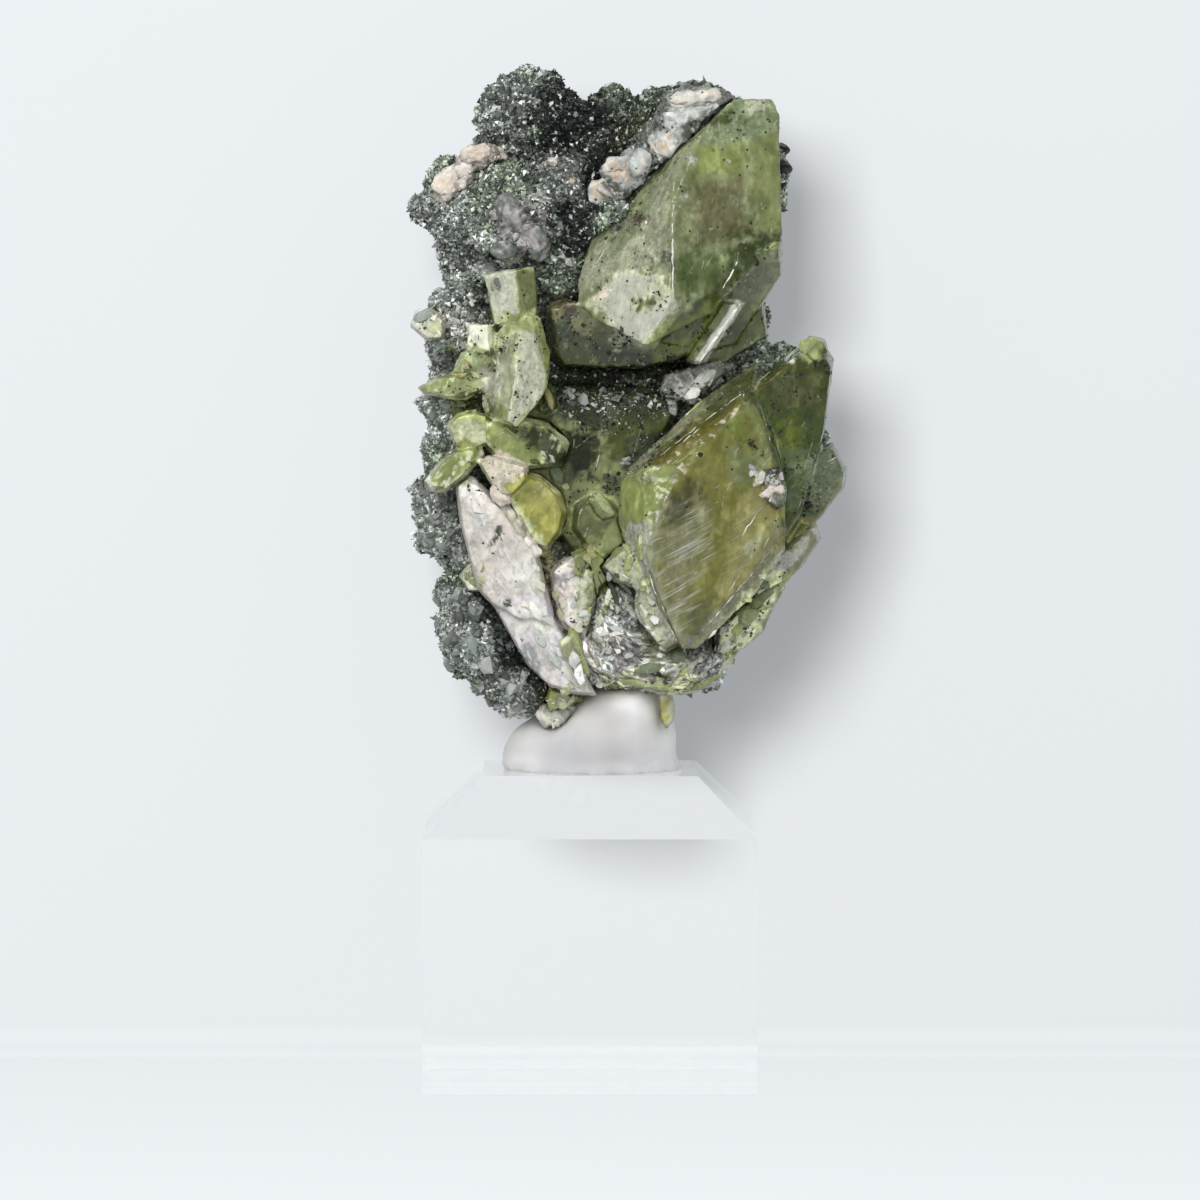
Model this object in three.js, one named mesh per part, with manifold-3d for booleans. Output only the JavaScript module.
// A titanite specimen: green wedge-shaped crystals and pale feldspar on a lumpy, chlorite-coated rock,
// held upright by white putty on a clear acrylic block with bevelled top edges.
// Millimetres, +Z up. The specimen's front faces -Y, and the origin is the centre of the block's underside.
import * as THREE from "three";
import { ConvexGeometry } from "three/addons/geometries/ConvexGeometry.js";
import { mergeVertices } from "three/addons/utils/BufferGeometryUtils.js";
import Module from "manifold-3d";

const wasm = await Module();
wasm.setup();

// Driving dimensions
const BLOCK_WIDTH = 33;
const BLOCK_HEIGHT = 31;
const BLOCK_BEVEL = 5.8;
const CONTACT_GAP = 0.3; // between two pieces that grow against each other
const RIM_SHARE = 0.16; // how far a plate's faces draw in from its girdle, as a share of its size
const GIRDLE_SHARE = 0.4; // how far behind a plate's front face its girdle lies, as a share of its thickness
const CRUMB_VOLUME = 0.6; // a loose bit under this many cubic millimetres is let go
const LEAST_SPREAD = 0.35; // holds a needle-sharp corner of a socket back
const ROCK_SEED = 5; // seeds the crumble of the rock's core and the turns of its lumps

// Finishes, as colour, roughness and opacity
const FINISH = {
  chlorite: { color: 0x3a413d, roughness: 0.75 },
  titanite: { color: 0x8a9a4c, roughness: 0.25, opacity: 0.9 },
  titanite_dark: { color: 0x4f6238, roughness: 0.3, opacity: 0.9 },
  titanite_pale: { color: 0xc9cf9a, roughness: 0.4, opacity: 0.95 },
  feldspar: { color: 0xd9cfc8, roughness: 0.5 },
  putty: { color: 0xe2deda, roughness: 0.8 },
  acrylic: { color: 0xeef3f4, roughness: 0.05, opacity: 0.3 },
};

// A repeatable stream of numbers from 0 to 1.
function stream(seed) {
  let state = seed >>> 0;
  return () => {
    state = (state + 0x6d2b79f5) >>> 0;
    let mixed = Math.imul(state ^ (state >>> 15), state | 1);
    mixed ^= mixed + Math.imul(mixed ^ (mixed >>> 7), mixed | 61);
    return ((mixed ^ (mixed >>> 14)) >>> 0) / 4294967296;
  };
}

// A geometry with its positions alone.
function bareOf(geometry) {
  const bare = geometry.clone();
  bare.deleteAttribute("normal");
  bare.deleteAttribute("uv");
  return bare;
}

// A closed three.js geometry as a solid that can be joined and cut.
function solidOf(geometry) {
  const merged = mergeVertices(bareOf(geometry), 1e-4);
  return new wasm.Manifold(
    new wasm.Mesh({
      numProp: 3,
      vertProperties: merged.attributes.position.array,
      triVerts: new Uint32Array(merged.index.array),
    }),
  );
}

// A solid as a three.js geometry with flat-looking faces.
function geometryOf(solid) {
  const mesh = solid.getMesh();
  const geometry = new THREE.BufferGeometry();
  geometry.setAttribute("position", new THREE.BufferAttribute(new Float32Array(mesh.vertProperties), 3));
  geometry.setIndex(new THREE.BufferAttribute(new Uint32Array(mesh.triVerts), 1));
  geometry.computeVertexNormals();
  return geometry;
}

// The one body of a solid, without the crumbs that a cut leaves.
function oneBody(solid, name) {
  const bodies = solid.decompose().sort((a, b) => b.volume() - a.volume());
  const apart = bodies.slice(1).filter((body) => body.volume() > CRUMB_VOLUME);
  if (apart.length) {
    const places = apart.map((body) => `${body.volume().toFixed(1)} mm3 from ${body.boundingBox().min}`);
    throw new Error(`${name} falls into pieces: ${places.join("; ")}`);
  }
  return bodies[0];
}

// A convex crystal from its corners, each [x, y, z].
function hullOf(corners) {
  return solidOf(new ConvexGeometry(corners.map((corner) => new THREE.Vector3(...corner))));
}

// The same crystal, grown by a margin on every side: each corner moves out until its faces have
// all moved that far.
function grownHullOf(corners, margin) {
  const shape = new ConvexGeometry(corners.map((corner) => new THREE.Vector3(...corner)));
  const { position, normal } = shape.attributes;
  const facesAt = new Map();
  for (let i = 0; i < position.count; i += 1) {
    const corner = new THREE.Vector3().fromBufferAttribute(position, i);
    const key = corner.toArray().join();
    if (!facesAt.has(key)) facesAt.set(key, { corner, normals: [] });
    facesAt.get(key).normals.push(new THREE.Vector3().fromBufferAttribute(normal, i));
  }
  const moved = [...facesAt.values()].map(({ corner, normals }) => {
    const outward = normals.reduce((sum, each) => sum.add(each), new THREE.Vector3()).normalize();
    const least = Math.min(...normals.map((each) => each.dot(outward)));
    return corner.addScaledVector(outward, margin / Math.max(least, LEAST_SPREAD));
  });
  return solidOf(new ConvexGeometry(moved));
}

// The corners of a tabular crystal. Its outline is a list of [x, z] in the front view. The middle of its
// front face lies at front along Y, and slopeX and slopeZ say how fast that face recedes to the right
// and to the top.
function plate({ outline, front, thickness, slopeX = 0, slopeZ = 0, rim = RIM_SHARE }) {
  const centreX = outline.reduce((sum, [x]) => sum + x, 0) / outline.length;
  const centreZ = outline.reduce((sum, [, z]) => sum + z, 0) / outline.length;
  const faceAt = (x, z) => front + slopeX * (x - centreX) + slopeZ * (z - centreZ);
  const drawnIn = (x, z) => [centreX + (x - centreX) * (1 - rim), centreZ + (z - centreZ) * (1 - rim)];
  return outline.flatMap(([x, z]) => {
    const [inX, inZ] = drawnIn(x, z);
    return [
      [inX, faceAt(inX, inZ), inZ],
      [x, faceAt(x, z) + thickness * GIRDLE_SHARE, z],
      [inX, faceAt(inX, inZ) + thickness, inZ],
    ];
  });
}

// The crystals and feldspars, front-most first: each is cut to clear the ones before it.
// What overlaps in one entry has grown together.
const CRYSTALS = [
  {
    name: "titanite_upper_right",
    finish: "titanite",
    parts: [
      // the big wedge: its nearest ridge parts the pale left face from the green right face
      [
        [11, -9.5, 94.5], [8.4, -12, 88.2], [7.8, -13.6, 78], [5.6, -12.6, 73.6],
        [14.3, -6.5, 98], [18, -5.8, 97.9], [18.8, -5.8, 96.4], [19, -8, 84.4], [12, -11.2, 76.8],
        [1.2, -9.8, 75.8], [-1.4, -7.4, 77.6], [-1.3, -6.8, 80], [0.2, -5, 84], [5, -5, 89.5],
        [16, 1, 97], [18.2, 1, 86], [7, 0, 76], [0.5, 0, 82],
      ],
      // the two plates under its right edge
      plate({
        outline: [
          [19, 84.2], [19.1, 80.7], [17.2, 78.1], [14.5, 73.4], [11, 72.7], [9, 73.6], [6.4, 73.6],
          [10, 76.9],
          [15, 81.4],
        ],
        front: -7.8,
        thickness: 6,
        slopeX: 0.1,
        slopeZ: -0.3,
        rim: 0.08,
      }),
      plate({
        outline: [[17.2, 78.4], [17.8, 74.4], [15.2, 72.7], [12.5, 71], [10, 71.7], [11.5, 74], [14.5, 78]],
        front: -5.4,
        thickness: 6,
        slopeX: 0.1,
        slopeZ: -0.2,
        rim: 0.08,
      }),
      // the bright lath that lies on them
      plate({
        outline: [[13.2, 77.9], [14.5, 77.8], [14.8, 77.1], [10.8, 71.7], [9.4, 71.9]],
        front: -9.4,
        thickness: 3,
        slopeX: -0.2,
        rim: 0.08,
      }),
      // the dark band over the cleft
      plate({
        outline: [
          [-4.5, 77.4], [-2.5, 78.3], [1, 76.4], [5.5, 74], [10, 74.1], [11, 73.1], [9, 71.9], [5, 71.1],
          [-3, 71.3], [-4.2, 72.7],
        ],
        front: -6.8,
        thickness: 8,
        slopeX: -0.05,
        slopeZ: -0.35,
        rim: 0.1,
      }),
    ],
  },
  {
    name: "titanite_lower_right",
    finish: "titanite",
    parts: [
      // the foremost crystal: a broad window face, a light facet on its left, a narrow one along its top
      [
        [7.8, -14.4, 59], [5.6, -14.8, 53.4], [6.5, -14.8, 50.1], [9.2, -13.8, 43.8], [10.6, -13.6, 43.7],
        [16, -12.4, 48.8], [19.2, -11.4, 53.4], [19.3, -11, 60], [18.6, -10.8, 62.4], [15.8, -10.6, 68.6],
        [5.2, -12.6, 61.2], [3, -9.8, 60], [2.8, -9.8, 55.9], [4, -11.2, 52.7],
        [3.8, -8, 61.4], [11, -7, 68.1], [16.6, -6.2, 71.9],
        [5, 1, 58], [16, 2, 68], [17.5, 1, 51], [10, -1, 45.5],
      ],
      // the broken rind along its lower left edge
      plate({
        outline: [[6.2, 56.4], [6.8, 55.6], [5.8, 51.9], [5, 49.4], [2.2, 50.1], [1, 51.7], [3.8, 52.6]],
        front: -12.4,
        thickness: 5,
        slopeX: -0.3,
      }),
      plate({
        outline: [[4.6, 50.3], [6.4, 50.9], [7.6, 47.9], [9, 43.9], [7.4, 43.1], [5.5, 45.4], [4.3, 47.9]],
        front: -12.6,
        thickness: 5,
        slopeX: -0.2,
      }),
      // the pale tip at the upper right, and the dark crystal under it
      plate({
        outline: [[20.6, 73.4], [21.8, 74.5], [23.2, 74.2], [23.8, 72.9], [22.5, 71.6]],
        front: -8.8,
        thickness: 4,
        slopeX: 0.2,
      }),
      plate({
        outline: [
          [15.8, 69.4], [21, 73.7], [23, 74.2], [24.2, 72.1], [23.9, 69.4], [23.5, 65.7], [22.4, 63.4],
          [21, 60.9], [20.7, 55.9], [19.2, 53.4], [18.4, 61.9],
        ],
        front: -8.4,
        thickness: 9,
        slopeX: 0.3,
        slopeZ: 0.05,
        rim: 0.1,
      }),
      // the crystal at the far right
      plate({
        outline: [
          [20.6, 62.7], [24.2, 63.8], [25.7, 61.1], [25.4, 59.2], [23.2, 56.4], [21.3, 54.7],
          [20, 57.9],
        ],
        front: -5.2,
        thickness: 7,
        slopeX: 0.25,
      }),
      // the plates along the lower right edge
      plate({
        outline: [
          [19.2, 53.1], [21, 55.9], [22.5, 55.7], [23, 54.3], [21, 51.3], [18, 48.8], [15.8, 47.4],
          [16.2, 48.9],
        ],
        front: -7.6,
        thickness: 6,
        slopeX: 0.2,
      }),
      plate({
        outline: [
          [16.4, 48.6], [19.6, 50.6], [19.4, 49.3], [17.4, 46.8], [17.2, 45], [15.2, 43.2], [12.2, 42.7],
          [12.6, 45.6],
        ],
        front: -8.6,
        thickness: 8,
        slopeX: 0.15,
        slopeZ: -0.1,
      }),
    ],
  },
  {
    name: "titanite_left_cluster",
    finish: "titanite",
    parts: [
      // the cream face
      plate({
        outline: [
          [-11.1, 62.1], [-10.1, 62.8], [-8.6, 62.6], [-6.1, 61.8], [-6, 60.4], [-7.6, 58.7], [-8.7, 58.8],
          [-9.8, 59.9],
        ],
        front: -12.9,
        thickness: 4,
        slopeZ: 0.15,
      }),
      // the blade that points down to the left
      plate({
        outline: [
          [-16.2, 59.2], [-16.4, 60.2], [-15, 62], [-13, 63.6], [-10.8, 64.1], [-10.4, 62.8], [-12.4, 60.5],
          [-14.4, 58.9],
        ],
        front: -11.6,
        thickness: 5,
        slopeX: -0.1,
        slopeZ: 0.3,
        rim: 0.25,
      }),
      // the pale fork over it
      plate({
        outline: [
          [-14.2, 65.6], [-13.2, 66.8], [-11.5, 67.2], [-10, 66.8], [-9.8, 63.9], [-12, 62.9],
          [-13.3, 63.4],
        ],
        front: -10.6,
        thickness: 6,
        slopeX: -0.1,
        slopeZ: 0.1,
      }),
      // the rounded green crystal on the right
      plate({
        outline: [
          [-10.6, 66.4], [-7.5, 66.8], [-4, 65.7], [-2, 63.9], [-2.8, 61.7], [-6, 61.3], [-9, 61.9],
          [-10.8, 63.9],
        ],
        front: -10.2,
        thickness: 6,
        slopeX: 0.12,
        slopeZ: 0.2,
      }),
      // the olive tongue under the cream face
      plate({
        outline: [
          [-8.6, 58.6], [-7.4, 59.8], [-6.1, 61], [-4.8, 60.6], [-2.9, 59], [-2.3, 57.1], [-2.8, 54.9],
          [-4.3, 53.1], [-5.4, 53.7], [-7, 55.9],
        ],
        front: -11.4,
        thickness: 6,
        slopeX: 0.15,
      }),
    ],
  },
  {
    name: "feldspar_prism",
    finish: "feldspar",
    parts: [
      plate({
        outline: [
          [-13.4, 60.3], [-12.4, 60.9], [-11.3, 60.5], [-8.6, 57.8], [-5.8, 54], [-5, 52.7], [-4.7, 48.7],
          [-3.4, 46.2], [-6.6, 45.9], [-9.5, 47.6], [-11.1, 49.4], [-11.6, 52], [-12.9, 56],
        ],
        front: -12.2,
        thickness: 8,
        slopeX: -0.1,
        slopeZ: -0.05,
        rim: 0.1,
      }),
      // its glassy lower end
      plate({
        outline: [
          [-9.5, 47.7], [-4.7, 48.8], [-3.1, 45.9], [-2.6, 43.4], [-1.5, 41.1], [0.7, 38.9],
          [-1.5, 39], [-4, 39.8],
          [-6.2, 42], [-7.7, 44.5],
        ],
        front: -11.6,
        thickness: 6,
        slopeX: -0.1,
        rim: 0.1,
      }),
    ],
  },
  {
    name: "titanite_upper_left_cluster",
    finish: "titanite_pale",
    parts: [
      // the speckled blade: a ridge parts its grey-green left face from its white right face
      [
        [-7, -12.4, 75], [-8, -12.6, 66.2],
        [-9.5, -9.6, 74.4], [-10.8, -9.2, 69.5], [-10.6, -9.4, 67.6], [-10, -10.2, 66.2],
        [-5.7, -11.8, 74.8], [-4.2, -10.4, 70.6], [-4.2, -10.4, 69.4], [-5.6, -11, 67.3],
        [-7.2, -11.8, 65.6],
        [-8.3, -10.4, 76.2], [-6.1, -9.8, 76.8], [-4.8, -9.4, 76.4], [-3.9, -9, 73],
        [-9.6, -5, 73], [-9.8, -5, 68], [-5, -4.6, 74], [-5, -5, 68],
      ],
      // the pale prism on top: a white face on the left, a green side on the right
      [
        [-10.5, -9.8, 80.6], [-7.3, -10.8, 81], [-7.2, -11.2, 76], [-9.4, -10.4, 75.6],
        [-5.6, -8.6, 81.4], [-5.3, -8.8, 76.4],
        [-10.4, -5, 80.6], [-5.6, -4.4, 81.2], [-5.6, -5, 76], [-9.4, -5, 75.8],
      ],
      // the bright block to the left of the blade
      [
        [-11.9, -11, 75.7], [-10.1, -11.4, 75.7], [-10, -11.4, 73], [-12.3, -11, 73], [-12.1, -10.9, 74.3],
        [-9.2, -9.6, 74.6], [-9.4, -9.6, 72.6], [-11.8, -6, 75.6], [-9, -6, 75.4], [-9, -6, 72.6],
        [-12.2, -6, 73],
      ],
      // the blade that points to the left, and its root
      plate({
        outline: [
          [-17.1, 69.4], [-15.4, 70.4], [-12.4, 70.9], [-10.6, 71.2], [-9.4, 70.4], [-9.8, 69.2],
          [-12.4, 68.3],
          [-15, 68.4], [-16.6, 68.8],
        ],
        front: -9.8,
        thickness: 4,
        slopeZ: 0.3,
        rim: 0.2,
      }),
      plate({
        outline: [[-13.7, 70.9], [-12.8, 72.9], [-11.4, 73.4], [-9, 73], [-9.4, 70.4], [-11.8, 69.8]],
        front: -9.9,
        thickness: 4,
        slopeX: -0.15,
      }),
    ],
  },
  {
    name: "titanite_hanging_blade",
    finish: "titanite_pale",
    parts: [
      plate({
        outline: [
          [-3.3, 44.7], [-2.2, 45.3], [-0.7, 44.9], [-1, 42.4], [0, 39.9], [-1.5, 41.1], [-2.8, 43.4],
        ],
        front: -12.8,
        thickness: 2.6,
        slopeX: 0.1,
      }),
    ],
  },
  {
    name: "feldspar_chunk",
    finish: "feldspar",
    parts: [
      plate({
        outline: [
          [-3.9, 50.6], [-3.2, 52.1], [-1.5, 52.9], [0.2, 51.9], [0.8, 47.9], [-0.5, 44.4], [-2.4, 45.2],
          [-3.6, 47.9],
        ],
        front: -10.4,
        thickness: 6,
        slopeX: -0.15,
      }),
    ],
  },
  {
    name: "titanite_centre",
    finish: "titanite_dark",
    parts: [
      // the dark crystal between the others
      plate({
        outline: [
          [-9.8, 63.9], [-7.5, 67.4], [-3, 69.4], [5, 69.2], [10, 69.1], [7, 64.9], [4, 60.1], [3.6, 55.9],
          [1, 51.9], [-1.8, 52.7], [-5, 56.4], [-8, 60.1],
        ],
        front: -5.6,
        thickness: 10,
        slopeX: 0.05,
        slopeZ: 0.1,
        rim: 0.1,
      }),
      // the green blades on its lower end
      plate({
        outline: [
          [-1.5, 57.7], [0, 58.6], [2.2, 58.2], [3.2, 55.9], [4.6, 53.7], [2.5, 52.3], [-0.2, 53.3],
          [-1.8, 55.4],
        ],
        front: -9.4,
        thickness: 6,
        slopeZ: 0.2,
      }),
      plate({
        outline: [[-0.4, 58.7], [1.8, 58.5], [2.8, 56.7], [1.3, 56.2], [0.2, 57.4]],
        front: -10.2,
        thickness: 3,
        slopeX: 0.2,
      }),
      // the olive one below them
      plate({
        outline: [[-2, 53.1], [0, 53.9], [1.8, 52.6], [1.8, 50.1], [0.5, 48.7], [-1.2, 49.7]],
        front: -10.9,
        thickness: 6,
        slopeX: 0.2,
      }),
      // the chip beside the speckled blade
      plate({
        outline: [[-5, 69.9], [-3.3, 69.5], [-3.2, 67.4], [-4.5, 66.6], [-6, 67.9]],
        front: -8.8,
        thickness: 5,
        slopeX: 0.2,
      }),
    ],
  },
  {
    name: "feldspar_right_patch",
    finish: "feldspar",
    parts: [
      plate({
        outline: [[17, 60], [17.8, 61.6], [18.8, 61.8], [19.4, 60], [19, 57.8], [18.2, 57.6]],
        front: -12.6,
        thickness: 3.4,
        slopeX: 0.2,
      }),
    ],
  },
  {
    name: "feldspar_gap_lumps",
    finish: "feldspar",
    parts: [
      plate({
        outline: [[7.2, 70.4], [10.2, 71.6], [10.8, 70.2], [9.8, 68.4], [8, 67.7], [6.9, 68.7]],
        front: -6.6,
        thickness: 4,
        slopeX: -0.1,
      }),
      plate({
        outline: [[9.6, 71], [13.2, 72.7], [14.1, 71.3], [11.5, 69.2], [9.2, 67.8], [9, 69.4]],
        front: -6.4,
        thickness: 4,
        slopeX: 0.1,
        slopeZ: 0.1,
      }),
    ],
  },
  {
    name: "titanite_left_stub",
    finish: "titanite_pale",
    parts: [
      plate({
        outline: [[-17.7, 75.4], [-17.2, 76.9], [-15.8, 77.2], [-14.3, 76.1], [-14.5, 74.1], [-16.2, 74]],
        front: -6.8,
        thickness: 6,
        slopeX: -0.2,
      }),
    ],
  },
  {
    name: "titanite_low_left_chip",
    finish: "titanite_pale",
    parts: [
      plate({
        outline: [[-13.1, 50.4], [-11.8, 52], [-10.4, 51.9], [-9.6, 48.9], [-12.2, 48.9]],
        front: -6,
        thickness: 5,
        slopeX: -0.2,
      }),
    ],
  },
  {
    name: "titanite_foot_bud",
    finish: "titanite",
    parts: [
      plate({
        outline: [[-4.6, 38.4], [-3.9, 40.1], [-2.2, 40.3], [-0.6, 38.6], [-1.8, 37.7], [-4, 37.1]],
        front: -8.8,
        thickness: 5,
        slopeZ: -0.2,
      }),
    ],
  },
  {
    name: "titanite_hanging_bud",
    finish: "titanite",
    parts: [
      plate({
        outline: [[6.8, 39.6], [8.1, 39.4], [8.4, 37.7], [8.2, 36.1], [7.6, 35.3], [7.1, 36.4]],
        front: -6.6,
        thickness: 3,
        slopeX: 0.1,
      }),
    ],
  },
  {
    name: "quartz_bud",
    finish: "titanite_pale",
    parts: [
      plate({
        outline: [[-5.2, 36.9], [-4.4, 38.2], [-2.8, 38.4], [-2, 36.9], [-3, 35.7], [-4.5, 35.2]],
        front: -6.4,
        thickness: 4,
        slopeX: -0.1,
      }),
    ],
  },
  {
    name: "feldspar_upper_seam",
    finish: "feldspar",
    parts: [
      plate({
        outline: [
          [6.5, 96.7], [7, 98.2], [10, 99], [13.2, 99], [14.9, 98], [13.5, 96.4], [10, 95.3], [7.2, 95.7],
        ],
        front: -5.8,
        thickness: 6,
        slopeZ: 0.2,
      }),
      plate({
        outline: [
          [5, 93.9], [6.5, 96.6], [10, 96.6], [12.5, 95.7], [9, 93.6], [7.2, 91.4], [6.5, 89.8],
          [4.5, 89.9],
          [3.2, 91.4],
        ],
        front: -7.4,
        thickness: 6,
        slopeX: 0.1,
        slopeZ: 0.1,
      }),
      plate({
        outline: [[0.4, 88.9], [1.5, 90.9], [4, 92.3], [6, 91.3], [6.5, 89.4], [4.5, 87.4], [2, 87.8]],
        front: -7.4,
        thickness: 6,
        slopeX: 0.05,
      }),
    ],
  },
  {
    name: "feldspar_shoulder",
    finish: "feldspar",
    parts: [
      plate({
        outline: [
          [-15.8, 88.7], [-14.5, 90.9], [-12.5, 92.7], [-10.8, 93.2], [-11, 90.7], [-12.5, 88.9],
          [-15, 87.7],
        ],
        front: -4.2,
        thickness: 4,
        slopeX: -0.3,
        slopeZ: 0.4,
      }),
      plate({
        outline: [[-12.6, 92.4], [-9.5, 93.5], [-8.7, 92.2], [-10, 91.2], [-11.5, 90.7]],
        front: -4.6,
        thickness: 4,
        slopeZ: 0.4,
      }),
    ],
  },
];

// The rock's lumps, a region at a time: [x, y, z, radius across, radius front to back, radius up].
const ROCK_CORE = [
  [-5, 5, 88, 8, 9, 9], [6, 6, 88, 9, 8, 9], [0, 6, 78, 12, 8, 8], [3, 7, 68, 13, 8, 9],
  [10, 6, 76, 8, 6, 9], [3, 6, 56, 15, 9, 11], [14, 6, 60, 8, 7, 10], [-8, 4, 70, 8, 8, 9],
  [-8, 4, 58, 8, 8, 9], [-4, 3, 48, 9, 9, 8], [8, 2, 47, 9, 9, 6], [13, 4, 90, 6, 6, 6],
];
const ROCK_TOP = [
  [-6, 0, 96.1, 5, 5.2, 4.7], [-2.5, 1, 95.4, 3.6, 4, 3.4], [2.2, 1, 96.6, 2.6, 3, 2.8],
  [5, 1.5, 95.8, 2.6, 3, 2.8], [7.6, 1.5, 97.2, 2.8, 3, 2.6], [11, 1.5, 97.6, 3, 3.4, 2.4],
  [13.6, 2, 96.4, 2.4, 3, 2.4], [0, -1, 92, 3.6, 4, 3.6], [4, 1, 93.5, 3.6, 4, 3],
  [17.8, 1.5, 91.2, 2.2, 3, 2.8], [17.8, 2, 88.2, 1.8, 3, 1.8],
];
const ROCK_SHOULDER = [
  [-13.6, 0, 89.6, 3.2, 4.4, 3.3], [-15.8, 0, 87, 2.1, 3.4, 2], [-12.5, -1.5, 86, 4.2, 5, 4],
  [-7, -3.6, 85.4, 4.2, 4.4, 4.2], [-9.6, -2, 89.6, 3.4, 4, 3.4], [-3.4, -3, 89.6, 4, 4.2, 4.2],
  [-2.6, -2.6, 84.4, 3.6, 4.2, 4.4], [1, -3.4, 86.2, 2.8, 4, 2.8], [3.2, -6.2, 86.6, 2, 2.4, 2.4],
  [-13, 0, 82.4, 2.6, 4, 2.6], [-3, -2, 80, 3, 4, 3.2], [-11.6, 0, 79.6, 2.6, 4, 3],
];
const ROCK_LEFT = [
  [-14.2, -1, 77, 2.4, 4, 2.2], [-14.8, -1.6, 73.6, 2, 3.4, 2.2], [-12.6, -2.4, 74.6, 3, 4.4, 3.2],
  [-14.2, -1.6, 67.6, 2.9, 4.4, 2.9], [-14.4, -1, 64.2, 2.4, 4.4, 2.8], [-13.6, -2, 61, 3, 4.6, 3],
  [-15.4, -1.6, 58.2, 2.5, 4, 2.6], [-14.6, -2, 54.8, 3, 5, 3], [-12.4, -1, 51.6, 2.4, 4.6, 2.4],
];
const ROCK_LOW_LEFT = [
  [-13, -1.4, 48.2, 2.8, 4.2, 2.7], [-13, -2, 45, 2.7, 4.2, 2.6], [-11, -2.6, 42.8, 3.4, 4.6, 3.2],
  [-8.6, -2.6, 40, 2.8, 4.2, 3], [-7, -2.4, 46, 3.6, 4.2, 3.6], [-5.8, -3, 39, 2.6, 4, 2.6],
  [-7, -1, 37.4, 2.4, 3.4, 1.6],
];
const ROCK_FOOT = [
  [2.6, -6, 43.6, 4.4, 5, 4.4], [7, -6.4, 42.6, 4.4, 4.8, 3.8], [10.2, -4.6, 41.8, 3.8, 5, 3],
  [12, -2, 43.8, 3, 5, 3.2], [-0.8, -4.6, 42.4, 3.4, 4.6, 3.6], [1, -7, 48, 3, 3.6, 3.4],
  [4.4, -7.6, 47.4, 2.6, 3.6, 3], [14.8, -0.6, 47, 2.6, 5, 3], [18.2, -0.6, 52, 2.8, 5, 3.4],
  [21.2, 0.8, 64.2, 2.9, 4.6, 2.2], [19, 2.4, 69, 4.4, 5.4, 4.2], [22.2, 0.4, 59.6, 2.4, 4.2, 3],
];
const ROCK_BACK = [
  [-6, 12, 90, 6, 5, 6], [4, 12.5, 92, 6, 4.4, 5], [11, 10, 84, 6, 5, 6], [0, 13, 80, 7, 4.6, 6],
  [-9, 11, 78, 5, 5, 6], [8, 13, 71, 7, 4.6, 6], [-4, 14, 68, 7, 4, 6], [16, 10, 63, 6, 5, 7],
  [4, 14.4, 58, 8, 4, 7], [-8, 11.5, 56, 6, 5, 7], [11, 10, 51, 6, 5, 5], [-1, 12, 46, 7, 5, 6],
  [-9, 8, 45, 5, 5, 5],
];
const ROCK_HEART = [2, 4, 68]; // the core and the back are in sight from here
const ROCK_FORM = [0.62, 0.55, 1]; // how wide, deep and tall the rock is, so that its facets come out alike
const CORE_DETAIL = 5;
const CORE_CRUMBLE = 0.35; // how far a corner of the core's surface stands in or out
const BIG_LUMP = 4.3; // radius across, from which a lump is rounder
const LUMP_TILT = 0.7; // how far a lump tips forward, as a share of its turn
const LUMP_RIPPLE = 0.14; // how far a lump's surface rolls in and out, as a share of its radius
const SWELL_WAVES = [[0.9, 0.7, 0], [0, 1.1, -0.8], [0.6, 0, 1]]; // radians a millimetre along x, y and z

// How far a lump reaches from a point along a direction, or 0 where it is missed.
function reachOf([x, y, z, rx, ry, rz], [px, py, pz], [dx, dy, dz]) {
  const [ox, oy, oz] = [(px - x) / rx, (py - y) / ry, (pz - z) / rz];
  const [ux, uy, uz] = [dx / rx, dy / ry, dz / rz];
  const along = ux * ux + uy * uy + uz * uz;
  const toward = ox * ux + oy * uy + oz * uz;
  const inside = toward * toward - along * (ox * ox + oy * oy + oz * oz - 1);
  return inside > 0 ? Math.max(0, (Math.sqrt(inside) - toward) / along) : 0;
}

// The rock's core: its surface goes out from the heart to the farthest lump on every side.
function rockCore(random) {
  const lumps = [...ROCK_CORE, ...ROCK_BACK];
  const form = new THREE.Vector3(...ROCK_FORM);
  const ball = mergeVertices(bareOf(new THREE.IcosahedronGeometry(1, CORE_DETAIL)), 1e-4);
  const place = ball.attributes.position;
  for (let i = 0; i < place.count; i += 1) {
    const way = new THREE.Vector3().fromBufferAttribute(place, i).multiply(form).normalize();
    const reach = lumps.reduce((far, row) => Math.max(far, reachOf(row, ROCK_HEART, way.toArray())), 0);
    const crumble = CORE_CRUMBLE * (random() * 2 - 1);
    const surface = way.multiplyScalar(reach + crumble).add(new THREE.Vector3(...ROCK_HEART));
    place.setXYZ(i, surface.x, surface.y, surface.z);
  }
  return solidOf(ball);
}

// How far the rock's surface swells at a point, from -1 to 1.
function swell(x, y, z) {
  const waves = SWELL_WAVES.map(([a, b, c]) => Math.sin(a * x + b * y + c * z));
  return waves.reduce((sum, wave) => sum + wave, 0) / waves.length;
}

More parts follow.
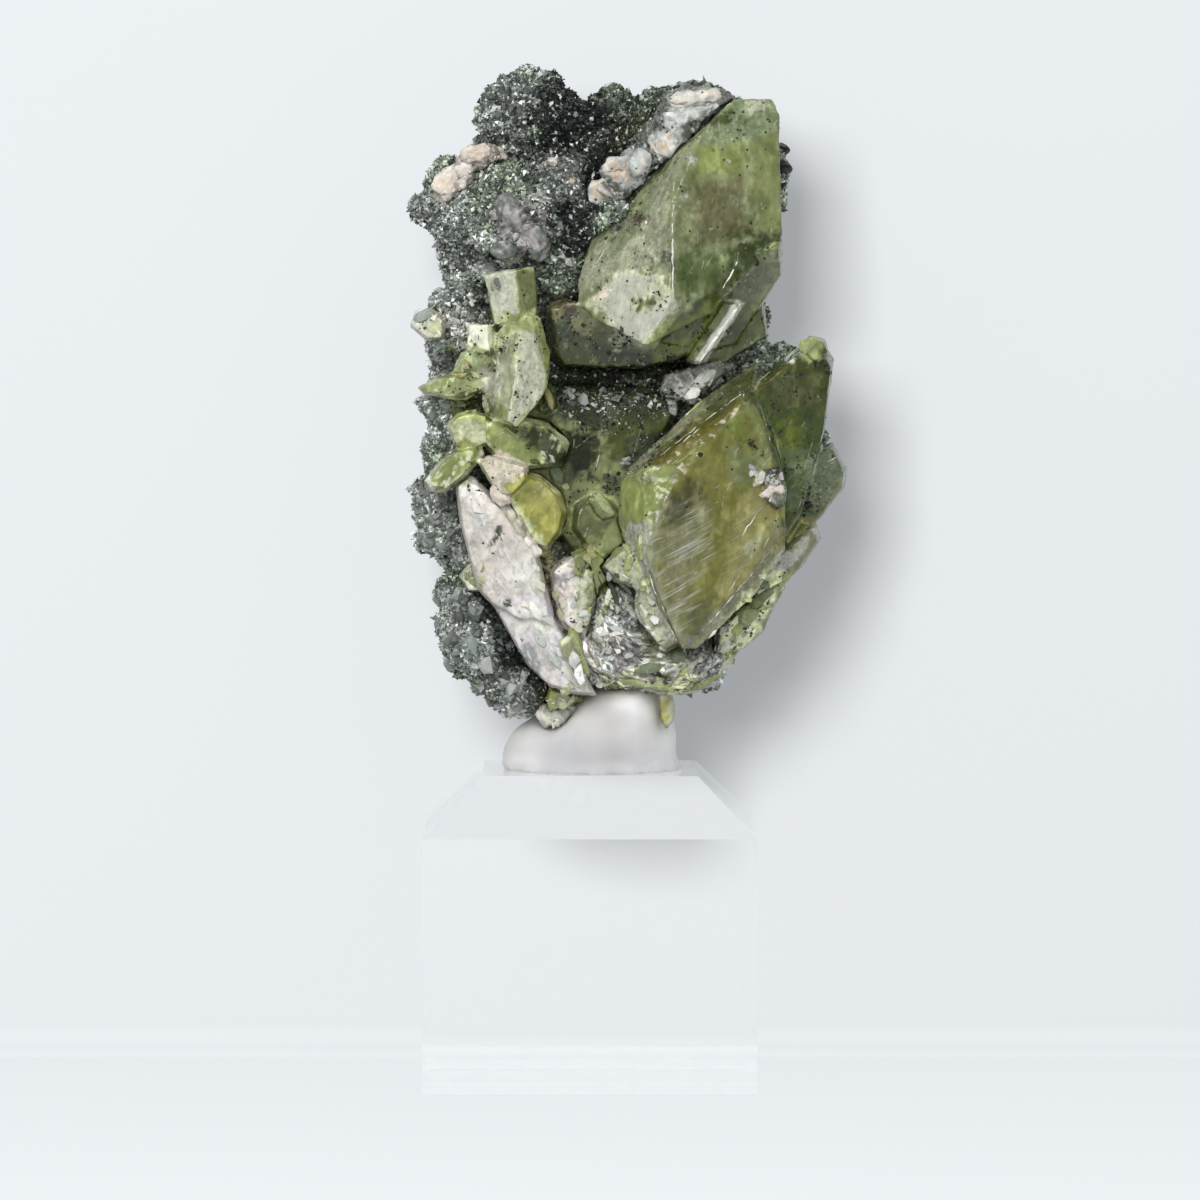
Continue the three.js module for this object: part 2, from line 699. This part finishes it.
// One lump of rock, rolled by the swell, turned and grown by a margin.
function lump({ row, turn }, margin = 0) {
  const [x, y, z, rx, ry, rz] = row;
  const detail = rx > BIG_LUMP ? 1 : 0;
  const ball = new THREE.IcosahedronGeometry(1, detail).rotateZ(turn).rotateX(turn * LUMP_TILT);
  const place = ball.attributes.position;
  for (let i = 0; i < place.count; i += 1) {
    const [ux, uy, uz] = [place.getX(i), place.getY(i), place.getZ(i)];
    const roll = 1 + LUMP_RIPPLE * swell(x + ux * rx, y + uy * ry, z + uz * rz);
    const [sx, sy, sz] = [rx, ry, rz].map((radius) => radius * roll + margin);
    place.setXYZ(i, x + ux * sx, y + uy * sy, z + uz * sz);
  }
  return solidOf(ball);
}

// Every lump that stands out of the core.
function rockLumps(random) {
  const rows = [...ROCK_TOP, ...ROCK_SHOULDER, ...ROCK_LEFT, ...ROCK_LOW_LEFT, ...ROCK_FOOT];
  return rows.map((row) => ({ row, turn: random() * Math.PI }));
}

// The rock: its core and lumps joined, with sockets for what grows on it.
function rock(core, lumps, clearances) {
  const joined = wasm.Manifold.union([core, ...lumps.map((each) => lump(each))]);
  return oneBody(joined.subtract(wasm.Manifold.union(clearances)), "matrix");
}

// The putty's foot on the block, and the lumps over it: [x, y, z, radius across, front to back, up].
const PUTTY_FOOT = { left: -7.4, right: 9.2, front: -9.2, back: 8.6, height: 3.4, taper: 0.8, sides: 16 };
const PUTTY_LUMPS = [
  [1.4, -0.4, 34.4, 7.4, 7.6, 5.6], [3.6, -1.6, 36.6, 4.6, 5.8, 4], [-4.2, -0.8, 33.2, 3.8, 5.6, 3.4],
  [1, 3.4, 36, 5.6, 4.6, 4.4],
];
const PUTTY_DETAIL = 2;
const PUTTY_TOP = 42; // no putty reaches above this

// One round lump of putty.
function dab([x, y, z, rx, ry, rz]) {
  return solidOf(new THREE.IcosahedronGeometry(1, PUTTY_DETAIL).scale(rx, ry, rz).translate(x, y, z));
}

// The putty is flat where it sits on the block and stops short of the rock that it holds.
function putty(clearances) {
  const { left, right, front, back, height, taper, sides } = PUTTY_FOOT;
  const foot = new THREE.CylinderGeometry(taper, 1, height, sides)
    .rotateX(Math.PI / 2)
    .scale((right - left) / 2, (back - front) / 2, 1)
    .translate((left + right) / 2, (front + back) / 2, BLOCK_HEIGHT + height / 2);
  const tall = PUTTY_TOP - BLOCK_HEIGHT;
  const room = new THREE.BoxGeometry(BLOCK_WIDTH, BLOCK_WIDTH, tall).translate(0, 0, BLOCK_HEIGHT + tall / 2);
  const pressed = wasm.Manifold.union([solidOf(foot), ...PUTTY_LUMPS.map(dab)]);
  const flat = pressed.intersect(solidOf(room));
  return oneBody(flat.subtract(wasm.Manifold.union(clearances)), "putty");
}

// The clear block: a square prism whose four top edges are bevelled.
function block() {
  const half = BLOCK_WIDTH / 2;
  const top = half - BLOCK_BEVEL;
  const corners = [];
  for (const sx of [-1, 1])
    for (const sy of [-1, 1])
      corners.push(
        [sx * half, sy * half, 0],
        [sx * half, sy * half, BLOCK_HEIGHT - BLOCK_BEVEL],
        [sx * top, sy * top, BLOCK_HEIGHT],
      );
  return hullOf(corners);
}

// A named mesh of one piece, with its finish.
function piece(name, solid, finish) {
  const { color, roughness, opacity = 1 } = FINISH[finish];
  const material = new THREE.MeshStandardMaterial({ color, roughness, metalness: 0, flatShading: true });
  material.opacity = opacity;
  material.transparent = opacity < 1;
  const mesh = new THREE.Mesh(geometryOf(solid), material);
  mesh.name = name;
  return mesh;
}

function specimen() {
  const group = new THREE.Group();
  const clearances = [];
  for (const { name, finish, parts } of CRYSTALS) {
    const whole = wasm.Manifold.union(parts.map(hullOf));
    const kept = clearances.length ? whole.subtract(wasm.Manifold.union(clearances)) : whole;
    group.add(piece(name, oneBody(kept, name), finish));
    clearances.push(...parts.map((corners) => grownHullOf(corners, CONTACT_GAP)));
  }
  const random = stream(ROCK_SEED);
  const core = rockCore(random);
  const lumps = rockLumps(random);
  group.add(piece("matrix", rock(core, lumps, clearances), "chlorite"));
  const low = lumps.filter(({ row }) => row[2] - row[5] < PUTTY_TOP);
  const room = [core, ...low.map((each) => lump(each, CONTACT_GAP))];
  group.add(piece("putty", putty([...clearances, ...room]), "putty"));
  group.add(piece("acrylic_block", block(), "acrylic"));
  return group;
}

export default specimen();
